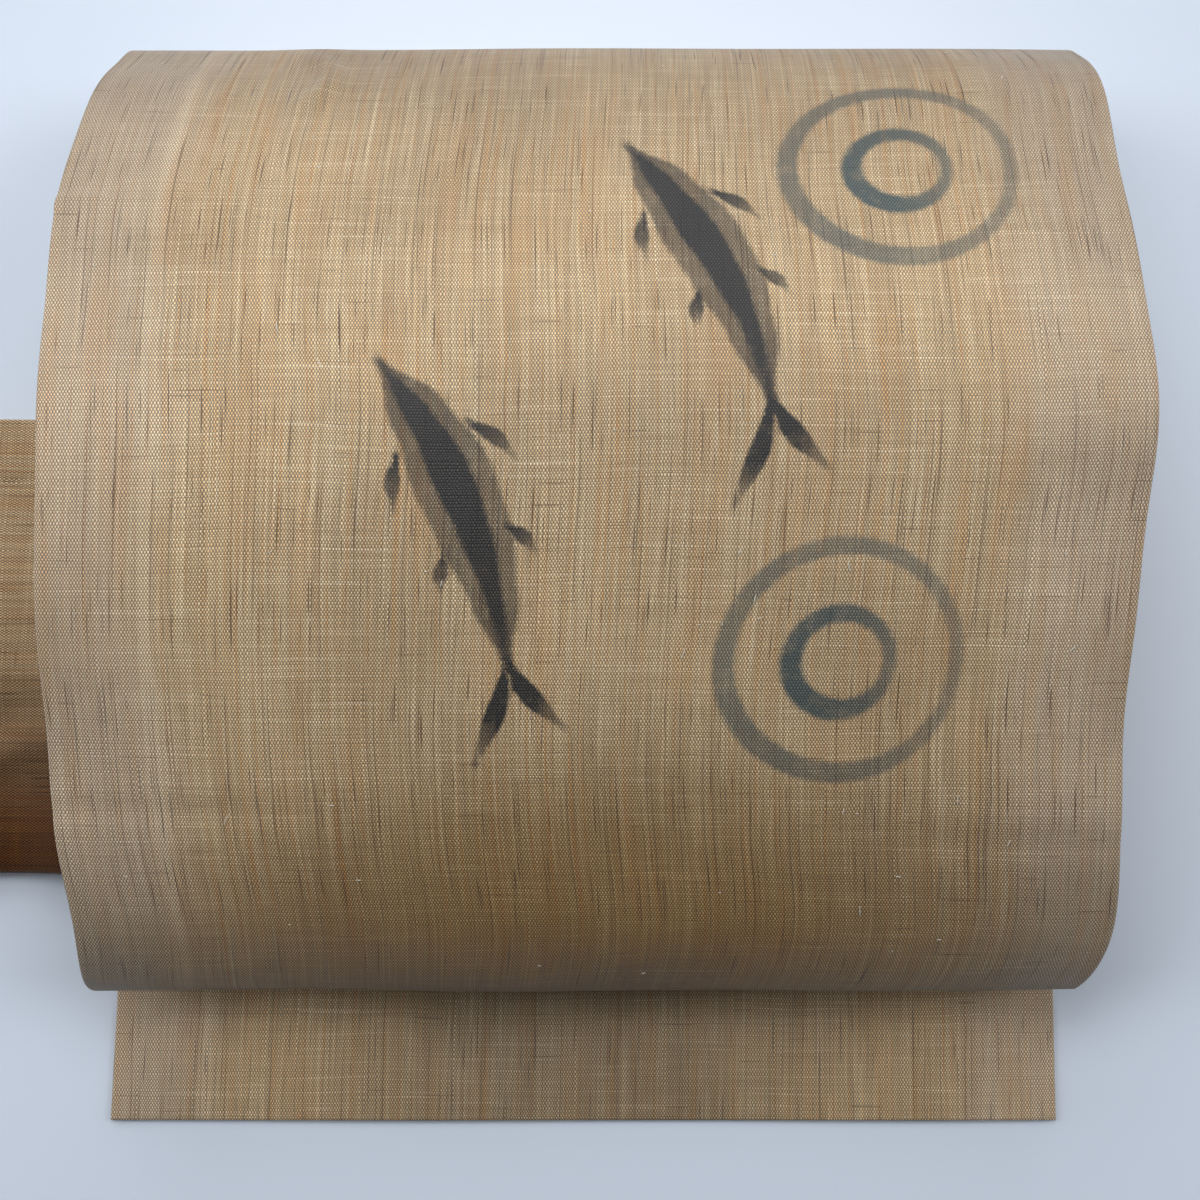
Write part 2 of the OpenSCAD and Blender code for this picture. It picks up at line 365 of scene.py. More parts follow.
def paint(piece, name, w, s, strokes):
    """Writes one layer of strokes, which lie well apart from each other, to an attribute."""
    v = v_of(s)
    data = np.zeros((len(w), 4), np.float32)
    data[:, 0] = FAR
    best = np.full(len(w), 1e9)
    for stroke in strokes:
        line = stroke["line"]
        reach = max(stroke["widths"]) + REACH
        near = np.flatnonzero((w > line[:, 0].min() - reach) & (w < line[:, 0].max() + reach)
                              & (v > line[:, 1].min() - reach) & (v < line[:, 1].max() + reach))
        q = np.c_[w[near], v[near]]
        apart = q[:, None, :] - line[None, :, :]
        k = np.argmin((apart ** 2).sum(2), 1)
        tangent = np.gradient(line, axis=0)
        tangent /= np.linalg.norm(tangent, axis=1)[:, None]
        d = apart[np.arange(len(q)), k]
        over = np.abs((d * tangent[k]).sum(1)) * ((k == 0) | (k == len(line) - 1))
        off = np.abs(d[:, 0] * tangent[k, 1] - d[:, 1] * tangent[k, 0])
        t = lengths(line)[k] / lengths(line)[-1]
        half = along(stroke["widths"], t)
        gap = off - half
        faded = (1 - smooth(over / END_FADE)) * (1 - smooth((gap - SIDE_FADE[0]) / SIDE_FADE[1]))
        tone = along(stroke["tones"], t) * faded
        closer = gap + over < best[near]
        pick = near[closer]
        best[pick] = (gap + over)[closer]
        data[pick] = np.c_[off, half, tone, np.full(len(off), stroke["soft"])][closer]
    layer = piece.data.attributes.new(name, "FLOAT_COLOR", "POINT")
    layer.data.foreach_set("color", data.ravel())


FISH_LAYERS = ("body", "back", "tail", "fins")
FIN_ROOTS = ((0.28, 0.120, 0.15), (0.62, 0.105, 0.10))     # place along the body, out, fin length


def plain_fish(head, root, bend):
    """A plain fish seen from above, the same on both sides, from its head to the root of its
    tail: a grey body, a darker back, a forked tail and two pairs of fins."""
    head, root = np.array(head, float), np.array(root, float)
    axis = root - head
    side = np.array([axis[1], -axis[0]])
    size = np.linalg.norm(axis)

    def stroke(points, widths, tones, soft):
        line = [head + axis * t + side * (out + bend * 4 * t * (1 - t)) for t, out in points]
        return brush(line, [x * size for x in widths], tones, soft)

    spine = [(t, 0) for t in (0, 0.25, 0.5, 0.75, 1)]
    fins = [
        stroke([(t, m * out), (t + long / 2, m * (out + long / 3)), (t + long, m * (out + long / 2))],
               [0.014, 0.028, 0.010], [0.95, 0.85, 0.50], 1.3)
        for t, out, long in FIN_ROOTS for m in (-1, 1)]
    tail = [
        stroke([(1.0, 0), (1.12, 0.05 * m), (1.26, 0.15 * m)], [0.014, 0.036, 0.014],
               [1.05, 1.00, 0.55], 1.4)
        for m in (-1, 1)]
    return {
        "body": [stroke(spine, [0.020, 0.095, 0.128, 0.118, 0.080, 0.025],
                        [0.78, 0.70, 0.62, 0.64, 0.80], 2.0)],
        "back": [stroke(spine, [0.010, 0.045, 0.066, 0.055, 0.034, 0.014],
                        [1.15, 1.20, 1.10, 1.00, 0.90], 2.2)],
        "tail": tail,
        "fins": fins,
    }


FISHES = [
    plain_fish((-60, 0), (-22, 84), 0.06),
    plain_fish((10, -74), (48, 10), 0.06),
]


def water_ring(middle, radius, tone):
    """A plain round ring. Its ends lie over each other, so that the line closes."""
    angles = np.radians(np.linspace(0, 370, 15))
    line = [(middle[0] + radius * math.cos(a), middle[1] + radius * math.sin(a)) for a in angles]
    return brush(line, [2.4, 4.0, 3.2, 2.4], [0.75 * tone, 1.1 * tone, tone, 0.75 * tone], 2.2)


WATER_RINGS = [
    water_ring(middle, radius, tone)
    for middle in ((90, -66), (72, 84)) for radius, tone in ((14, 1.0), (33, 0.72))
]


def paint_motif(piece, w, s):
    for layer in FISH_LAYERS:
        paint(piece, "ink_" + layer, w, s, [stroke for one in FISHES for stroke in one[layer]])
    paint(piece, "water", w, s, WATER_RINGS)


def make_bow():
    rows = end_rows(BOW.rows(9.0, fine_rows))
    face, w, s = sweep("bow_face_silk", rows, face_ring(), place_bow)
    paint_motif(face, w, s)
    coarse = end_rows(BOW.rows(9.0, lambda s: 5.0))
    inset = coarse[coarse < BOW.length - 1.2]
    core, _, _ = sweep("bow_core_cotton", inset,
                       flat_ring(HALF_W - CORE_INSET, FACE_T, FACE_T + CORE_T, 8), place_bow)
    lining, _, _ = sweep("bow_lining_silk", inset,
                         flat_ring(HALF_W - HEM_W - 0.15, FACE_T + CORE_T, CLOTH_T, 4), place_bow)
    for piece, nodes, slot in (
            (face, ("bow_face_cloth", "tare_face_cloth"), "face_silk"),
            (core, ("bow_interlining", "tare_interlining"), "interlining_cotton"),
            (lining, ("bow_lining", "tare_lining"), "lining_silk")):
        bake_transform(piece)
        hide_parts(*nodes)
    return face, core, lining


# ---- Stitches ----

def capsule(a, b, r, sides=6):
    """Points and faces of a short thread from a to b with pointed ends."""
    a, b = np.asarray(a, float), np.asarray(b, float)
    axis = (b - a) / np.linalg.norm(b - a)
    side = np.cross(axis, [0, 0, 1] if abs(axis[2]) < 0.9 else [1, 0, 0])
    side /= np.linalg.norm(side)
    up = np.cross(axis, side)
    rings = []
    for t, k in ((0, 0.45), (0.15, 0.9), (0.5, 1.0), (0.85, 0.9), (1, 0.45)):
        turn = np.linspace(0, 2 * np.pi, sides, endpoint=False)[:, None]
        rings.append(a + (b - a) * t + r * k * (np.cos(turn) * side + np.sin(turn) * up))
    co = np.vstack(rings)
    faces = []
    for i in range(len(rings) - 1):
        for j in range(sides):
            k = (j + 1) % sides
            faces.append([i * sides + j, i * sides + k, (i + 1) * sides + k, (i + 1) * sides + j])
    faces += [list(range(sides - 1, -1, -1)), list(range(len(co) - sides, len(co)))]
    return co, faces


def threads(name, pairs, r):
    """One piece of many short threads."""
    co, faces, cloth = [], [], []
    for a, b in pairs:
        c, f = capsule(a, b, r)
        base = sum(len(x) for x in co)
        faces += [[i + base for i in face] for face in f]
        co.append(c)
        cloth.append(c * MM)
    return build(name, np.vstack(co), faces, np.vstack(cloth))


STITCH_STEP = 8.0
STITCH_R = 0.18


def edge_stitches(side, s0, s1):
    pairs = []
    for s in np.arange(s0, s1, STITCH_STEP):
        w = np.array([side * (HALF_W - HEM_W + 0.7), side * (HALF_W - HEM_W - 0.9)])
        p = place_bow(w, np.array([s, s + 1.1]), np.full(2, CLOTH_T - 0.05))
        pairs.append((p[0], p[1]))
    return pairs


def make_seams():
    hinge_s = BOW.length - (HINGE_Y - TARE_LO[1])
    for side, word in ((-1, "left"), (1, "right")):
        piece = threads("bow_stitches_" + word, edge_stitches(side, 6, hinge_s - 9), STITCH_R)
        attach(piece, "bow")
        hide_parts("bow_seam_" + word)
        yield piece
    pairs = [p for side in (-1, 1) for p in edge_stitches(side, hinge_s + 7, BOW.length - 3)]
    for w in np.arange(-HALF_W + 8, HALF_W - 6, STITCH_STEP):
        p = place_bow(np.array([w, w + 1.2]), BOW.length - np.array([2.4, 3.8]),
                      np.full(2, CLOTH_T - 0.05))
        pairs.append((p[0], p[1]))
    piece = threads("tare_stitches", pairs, STITCH_R)
    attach(piece, "tare")
    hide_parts("tare_seam")
    yield piece


# ---- The waist band ----

FOLD_X, ENTRY_X = 143, 150
TE_END = TE_LO[0]
TE_FALL = (-HALF_W - 0.5, -192)
ENTRY_R = (RUNS_Z + RUNS * RUN_PITCH) / 2
CORNER_SUM = BAND_BACK - HALF_W         # the diagonal fold runs where x + y is this
BAND_START_Y = BAND_HI[1]               # past the corner, the band's other end is tacked here


def te_mid(x):
    return BAND_T / 2 + RUNS_Z * smooth((np.asarray(x) - TE_FALL[1]) / (TE_FALL[0] - TE_FALL[1]))


def band_line():
    mid = RUNS_Z + BAND_T / 2
    te_x = np.linspace(TE_END, TE_FALL[0], 50)
    parts = [np.c_[te_x, te_mid(te_x)]]
    for i in range(RUNS):
        side = 1 if i % 2 == 0 else -1
        z = mid + RUN_PITCH * (i + 0.5)
        turn = (-90, 90) if side > 0 else (270, 90)
        parts.append(arc((side * (FOLD_X + 1.1 * math.sin(2.3 * i)), z), RUN_PITCH / 2, *turn, 12))
    parts.append(arc((ENTRY_X, BAND_T / 2 + ENTRY_R), ENTRY_R, 90, -90, 40))
    parts.append([[CORNER_SUM - BAND_START_Y, BAND_T / 2]])
    return np.vstack(parts)


BAND = Path(band_line())
TE_LEN = BAND.s[int(np.argmax(BAND.xy[:, 0] > TE_FALL[0]))]
BAND_ENTRY_S = BAND.s[int(np.argmax(BAND.xy[:, 0]))] + ENTRY_R * math.pi / 2
CORNER_R = TURN_Z / 2
TE_ARCH, TE_CREST_Y = 13.0, -22


def te_shape(s, x, y):
    """Outside the bow the te arches, and a soft wrinkle crosses it near its front edge."""
    out = smooth((-HALF_W - 1 - x) / 20) * (s < TE_LEN)
    reach = np.where(y > TE_CREST_Y, BAND_BACK + 30 - TE_CREST_Y, TE_CREST_Y - BAND_FRONT + 1.5)
    arch = TE_ARCH * np.sqrt(np.clip(1 - ((y - TE_CREST_Y) / reach) ** 2, 0, 1))
    line = -72 + 0.32 * (x + 185) + 3 * np.sin(x / 11)
    wrinkle = 2.8 * bump(y, line, 4.0) - 1.5 * bump(y, line + 11, 5)
    wrinkle = wrinkle * smooth((-160 - x) / 8)
    ripple = 0.5 * np.sin(y / 7.0 + x / 19) + 0.4 * np.sin(x / 6.5 + y / 31)
    return out * (arch + wrinkle + ripple + 0.9)


def place_band(w, s, offset):
    (x, z), (nx, nz) = BAND.at(s)
    y = (BAND_FRONT + BAND_BACK) / 2 + w
    x = x + nx * offset
    z = z + nz * offset
    lift = te_shape(s, x, y)
    z = z + lift
    past = (CORNER_SUM - x - y) / math.sqrt(2)
    corner = (s > BAND_ENTRY_S + 10) & (past > 0)
    turn = np.clip(past / CORNER_R, 0, math.pi)
    back = np.maximum(past - math.pi * CORNER_R, 0)
    thick = z - BAND_T / 2
    move = past - (CORNER_R + thick) * np.sin(turn) + back
    move = np.where(corner, move, 0) / math.sqrt(2)
    z = np.where(corner, BAND_T / 2 + CORNER_R - (CORNER_R - thick) * np.cos(turn), z)
    x, y = x + move, y + move
    settle = 0.6 * smooth((y - 42) / 14) * corner
    return np.stack([x, y, z - settle], -1)


def band_rows():
    corner_from = BAND.length - 230
    return BAND.rows(14.0, lambda s: 2.5 if s < 72 else (3.0 if s > corner_from else 14.0))


def make_band():
    width = (BAND_BACK - BAND_FRONT) / 2
    rows = band_rows()
    sleeve, _, _ = sweep("band_silk_sleeve", rows,
                         flat_ring(width, -BAND_T / 2, BAND_T / 2, 3.0), place_band)
    inner = BAND_CORE_T / 2
    core, _, _ = sweep("band_core_cotton", rows[(rows > 1.2) & (rows < BAND.length - 1)],
                       flat_ring(width - 0.9, -inner, inner, 3.0), place_band)
    for piece, nodes, slot in ((sleeve, ("band_cloth", "te_cloth"), "face_silk"),
                               (core, ("band_interlining", "te_interlining"), "interlining_cotton")):
        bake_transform(piece)
        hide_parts(*nodes)
    ys = np.arange(BAND_FRONT + 5, BAND_BACK - 4, 7.0)
    pairs = []
    for y in ys:
        w = y - (BAND_FRONT + BAND_BACK) / 2
        p = place_band(np.array([w, w + 2.2]), np.array([1.2, 1.2]), np.full(2, BAND_T / 2 + 0.02))
        pairs.append((p[0], p[1]))
    te_seam = threads("te_stitches", pairs, 0.2)
    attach(te_seam, "te")
    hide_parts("te_seam")
    tack_lo, tack_hi = node_box("band_bar_tacks")
    pairs = []
    for x0 in (tack_lo[0], tack_hi[0] - 10):
        for k in range(9):
            x = x0 + 0.6 + k * 1.1
            pairs.append(((x, tack_lo[1] - 1.2, CLOTH_T + 0.15),
                          (x + 0.3, tack_hi[1] + 1.2, CLOTH_T + 0.3)))
    tacks = threads("band_bar_tack_threads", pairs, 0.3)
    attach(tacks, "bow")
    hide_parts("band_bar_tacks")
    return sleeve, core, te_seam, tacks


# ---- The obi pillow ----

PILLOW_MID = (PILLOW_LO + PILLOW_HI) / 2
PILLOW_HALF = (PILLOW_HI - PILLOW_LO) / 2


def power(x, n):
    return np.sign(x) * np.abs(x) ** n


def loaf(name, inset, nu, nv, place=None):
    """The pillow's rounded loaf, squarer at its base, as a grid round the X axis. Its weave is
    measured along the top and round the middle, and its join lies under the base."""
    a, d, h = PILLOW_HALF - inset
    u = np.linspace(-math.pi / 2, 3 * math.pi / 2, nu, endpoint=False)
    t = np.linspace(-math.pi / 2, math.pi / 2, nv + 2)[1:-1]
    uu, tt = np.meshgrid(u, t, indexing="ij")
    c = power(np.cos(tt), 0.42)
    x = a * power(np.sin(tt), 0.72)
    y = (d - 5) * c * power(np.cos(uu), 0.82)
    z = h * c * power(np.sin(uu), np.where(np.sin(uu) < 0, 0.5, 0.88))
    y = y + 5 * z / h
    co = np.stack([x, y, z], -1)
    if place is not None:
        co = place(co, uu)
    along, around = np.meshgrid(lengths(co[nu // 2]), lengths(co[:, nv // 2]))
    cloth = np.dstack([along, around, 0 * along]).reshape(-1, 3)
    cloth = np.vstack([cloth, [0, 0, 0], [along.max(), 0, 0]])
    poles = np.array([[-a, 0, 0], [a, 0, 0]])
    co = np.vstack([co.reshape(-1, 3), poles]) + PILLOW_MID
    faces = []
    for i in range(nu):
        k = (i + 1) % nu
        for j in range(nv - 1):
            faces.append([i * nv + j, k * nv + j, k * nv + j + 1, i * nv + j + 1])
        faces.append([i * nv, nu * nv, k * nv])
        faces.append([i * nv + nv - 1, k * nv + nv - 1, nu * nv + 1])
    return outward(build(name, co, faces, cloth * MM))


def gather(co, u):
    """The gauze is drawn in at both ends, with pleats that run out along the pillow."""
    near_end = smooth((np.abs(co[..., 0]) - 0.50 * PILLOW_HALF[0]) / (0.5 * PILLOW_HALF[0]))
    pleat = 0.5 + 0.5 * np.sin(17 * u + 1.3 * np.sin(3 * u) + 0.4 * np.sign(co[..., 0]))
    pleat = pleat * (0.4 + 0.6 * np.abs(np.sin(2.5 * u + 1)))
    drawn = 1 - 0.10 * near_end * pleat
    seat = smooth(-co[..., 2] / PILLOW_HALF[2] * 2)
    co[..., 1] *= 1 - (1 - drawn) * (1 - 0.6 * seat)
    co[..., 2] *= 1 - (1 - drawn) * (1 - seat)
    slack = 0.5 * np.sin(co[..., 0] / 9 + 3 * u) * np.sin(5 * u + co[..., 0] / 31)
    co[..., 2] += (slack - 0.5) * (1 - seat)
    return co


def tie_line():
    """From the pillow's end down to a stack of flat runs, folded to and fro."""
    runs, pitch = 16, 0.7
    mid_z = PILLOW_MID[2]
    inner, outer = TIE_HI[0] - 37.5, TIE_HI[0] - 1.6
    top = PILLOW_LO[2] + 0.3 + runs * pitch
    parts = [[[PILLOW_HI[0] - 1.5, mid_z]], arc((inner, mid_z - 4), 4, 90, 0, 10),
             arc((inner + 8, top + 4), 4, 180, 270, 10)]
    for i in range(runs):
        even = i % 2 == 0
        slip = 1.2 * math.sin(1.9 * i)
        x = (outer if even else inner + 1.5) + slip
        turn = (90, -90) if even else (90, 270)
        parts.append(arc((x, top - pitch * (i + 0.5)), pitch / 2, *turn, 8))
    parts.append([[outer - 5, top - pitch * runs]])
    return np.vstack(parts)


def make_tie(side):
    path = Path(tie_line())
    half = (TIE_HI[1] - TIE_LO[1]) / 2
    mid_y = (TIE_HI[1] + TIE_LO[1]) / 2

    def place(w, s, offset):
        (x, z), (nx, nz) = path.at(s)
        narrow = 0.62 + 0.38 * smooth((s - 6) / 26)
        free = smooth((s - 2) / 8) * smooth((46 - s) / 20)
        crimp = 0.7 * free * np.sin(w / 2.3 + 1.1 * np.sin(s / 7))
        waver = 0.5 * np.sin(s / 21 + side) + 0.3 * np.sin(s / 9)
        y = mid_y + w * narrow + waver
        return np.stack([side * (x + nx * (offset + crimp)), y, z + nz * (offset + crimp)], -1)

    ring = flat_ring(half, -0.2, 0.2, 1.1, 2)
    word = "left" if side < 0 else "right"
    rows = path.rows(6.0, lambda s: 1.5 if s < 50 else 6.0)
    tie, _, _ = sweep("pillow_gauze_tie_" + word, rows, ring, place)
    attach(tie, "pillow")
    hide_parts("pillow_tie_" + word)
    return tie, path.length


def make_pillow():
    cover = loaf("pillow_gauze_cover", 0.0, 128, 72, gather)
    core = loaf("pillow_foam_loaf", 6.0, 48, 32)
    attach(cover, "pillow")
    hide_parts("pillow_gauze")
    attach(core, "pillow")
    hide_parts("pillow_core")
    return cover, core


# ---- Slubs and loose fibres that stand on the drum's face ----

def make_fibres(rng):
    """Pale knots and short broken filaments, as raw silk has here and there."""
    pairs = []
    for _ in range(46):
        w, v = rng.uniform(-148, 148), rng.uniform(-128, 188)
        long_way = rng.random() < 0.45
        length = rng.uniform(0.8, 3.4) if long_way else rng.uniform(0.6, 1.6)
        lean = rng.normal(0, 0.35) + (math.pi / 2 if long_way else 0)
        dw, dv = length * math.cos(lean), length * math.sin(lean)
        p = place_bow(np.array([w, w + dw]), np.array([v, v + dv]) + S_CROWN, np.array([-0.12, -0.2]))
        pairs.append((p[0], p[1]))
    piece = threads("silk_fibres", pairs, 0.15)
    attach(piece, "bow")
    return piece


# ---- Materials ----

class Nodes:
    """A small helper for writing a material's node graph."""

    def __init__(self, name):
        self.material = bpy.data.materials.new(name)
        self.material.use_nodes = True
        self.tree = self.material.node_tree
        self.shader = self.tree.nodes["Principled BSDF"]

    def add(self, kind, **values):
        node = self.tree.nodes.new(kind)
        for key, value in values.items():
            if hasattr(node, key):
                setattr(node, key, value)
            else:
                node.inputs[key.replace("_", " ")].default_value = value
        return node

    def put(self, socket, value):
        if isinstance(value, bpy.types.NodeSocket):
            self.tree.links.new(value, socket)
        else:
            socket.default_value = value

    def math(self, operation, a, b=0.0, c=None):
        node = self.add("ShaderNodeMath", operation=operation)
        self.put(node.inputs[0], a)
        self.put(node.inputs[1], b)
        if c is not None:
            self.put(node.inputs[2], c)
        return node.outputs[0]

    def ramp(self, value, low, high, to_low=0.0, to_high=1.0, soft=True):
        node = self.add("ShaderNodeMapRange", interpolation_type="SMOOTHSTEP" if soft else "LINEAR")
        for socket, x in zip(node.inputs, (value, low, high, to_low, to_high)):
            self.put(socket, x)
        return node.outputs[0]

    def mix(self, share, a, b, kind="MIX"):
        node = self.add("ShaderNodeMix", data_type="RGBA", blend_type=kind)
        for socket, x in zip((node.inputs[0], node.inputs[6], node.inputs[7]), (share, a, b)):
            self.put(socket, x)
        return node.outputs[2]

    def attribute(self, name):
        return self.add("ShaderNodeAttribute", attribute_name=name)

    def noise(self, x, y, kx, ky, detail=2.0, rough=0.5, seed=0.0):
        """Noise over (x, y), which are in millimetres, with kx and ky features per millimetre."""
        where = self.add("ShaderNodeCombineXYZ")
        self.put(where.inputs[0], self.math("MULTIPLY", x, kx))
        self.put(where.inputs[1], self.math("MULTIPLY", y, ky))
        where.inputs[2].default_value = seed
        node = self.add("ShaderNodeTexNoise", Scale=1.0, Detail=detail, Roughness=rough)
        self.put(node.inputs["Vector"], where.outputs[0])
        return node.outputs["Fac"]

    def cloth(self):
        """The position on the cloth in millimetres: across it and along it."""
        split = self.add("ShaderNodeSeparateXYZ")
        self.put(split.inputs[0], self.attribute("cloth").outputs["Vector"])
        return [self.math("MULTIPLY", split.outputs[k], 1 / MM) for k in range(2)]

    def bump(self, height, distance_mm, strength=1.0):
        node = self.add("ShaderNodeBump")
        node.inputs["Strength"].default_value = strength
        node.inputs["Distance"].default_value = distance_mm * MM
        self.put(node.inputs["Height"], height)
        self.put(self.shader.inputs["Normal"], node.outputs[0])

    def finish(self, color, roughness, **values):
        self.put(self.shader.inputs["Base Color"], color)
        self.put(self.shader.inputs["Roughness"], roughness)
        for key, value in values.items():
            self.shader.inputs[key.replace("_", " ")].default_value = value
        return self.material


def rgb(r, g, b):
    return (r, g, b, 1.0)


WARP_PITCH, WEFT_PITCH = 0.44, 0.78
PAINTED_LIGHT_V = S_CROWN + 35                   # painted shade: the silk is painted paler across the drum's middle and darker towards its folds, with a painted pool of light on its left side and a painted shadow, a deeper brown, low on the front
PAINTED_LIGHT_PATCH = ((-130, S_CROWN + 55), (75, 60))       # and more so at its left side
PAINTED_SHADOW_PATCH = ((0, S_CROWN + 178), (155, 78))         # and a deeper brown low on the front
PAINTED_SHADOW_TINT = (0.68, 0.57, 0.36)
TARE_FROM = BOW.length - 70             # from here to its end the cloth is the tare's face
FACE_DOTS = (0.42, 1.85)                # plain weave shows as pale dots on a darker ground
BAND_DOTS = (0.26, 2.15)
FACE_GLOSS, BAND_GLOSS = (0.5, 0.15), (0.2, 0.05)       # the shader's specular level and sheen


def weave(n, u, v, warp=WARP_PITCH, weft=WEFT_PITCH):
    """A plain weave: how far a warp thread lies over the weft, the threads' height, and how
    far each point is from the gaps between threads."""
    wu = n.math("SINE", n.math("MULTIPLY", u, math.pi / warp))
    wv = n.math("SINE", n.math("MULTIPLY", v, math.pi / weft))
    over = n.math("MULTIPLY", wu, wv)
    height = n.math("ADD", n.math("ABSOLUTE", over), n.math("MULTIPLY", over, 0.35))
    gap = n.math("MULTIPLY", n.ramp(n.math("ABSOLUTE", wu), 0, 0.4),
                 n.ramp(n.math("ABSOLUTE", wv), 0, 0.7))
    return over, height, gap


def ink_cover(n, name, grain, fray):
    """How much ink one layer of strokes leaves, with edges that fray along the weave."""
    a = n.attribute(name)
    split = n.add("ShaderNodeSeparateColor")
    n.put(split.inputs[0], a.outputs["Color"])
    off, half, tone = split.outputs
    soft = a.outputs["Alpha"]
    inside = n.math("SUBTRACT", half, off)
    rough = n.math("MULTIPLY", n.math("SUBTRACT", fray, 0.5), n.math("MULTIPLY", soft, 1.6))
    share = n.math("DIVIDE", n.math("ADD", inside, rough), soft)
    cover = n.ramp(share, -0.25, 0.75)
    return n.math("MULTIPLY", n.math("MULTIPLY", cover, tone), grain)


def patch(n, u, v, place, outside, inside):
    """A soft oval patch on the cloth. place is its middle and its half size, both (u, v)."""
    (mid_u, mid_v), (half_u, half_v) = place
    across = n.math("DIVIDE", n.math("SUBTRACT", u, mid_u), half_u)
    down = n.math("DIVIDE", n.math("SUBTRACT", v, mid_v), half_v)
    off = n.math("ADD", n.math("MULTIPLY", across, across), n.math("MULTIPLY", down, down))
    return n.ramp(off, 1, 0, outside, inside)


def painted_light_and_shade(n, u, v):
    """Painted light and shade: the cloth is painted paler across the drum's middle, at its left and at
    the tare's sides, and darker towards the drum's folds and across the tare's middle.
    """
    off = n.math("ABSOLUTE", n.math("SUBTRACT", v, PAINTED_LIGHT_V))
    share = n.math("MULTIPLY", n.ramp(off, 50, 175, 1.08, 0.77), patch(n, u, v, PAINTED_LIGHT_PATCH, 1, 1.20))
    # painted shadow across the tare's middle and painted light at its sides
    side = n.ramp(n.math("ABSOLUTE", u), 15, 125, 0.86, 1.45)
    on_tare = n.ramp(v, TARE_FROM, TARE_FROM + 10)
    tare = n.math("MULTIPLY_ADD", n.math("SUBTRACT", side, 1), on_tare, 1)
    return n.math("MULTIPLY", share, tare)


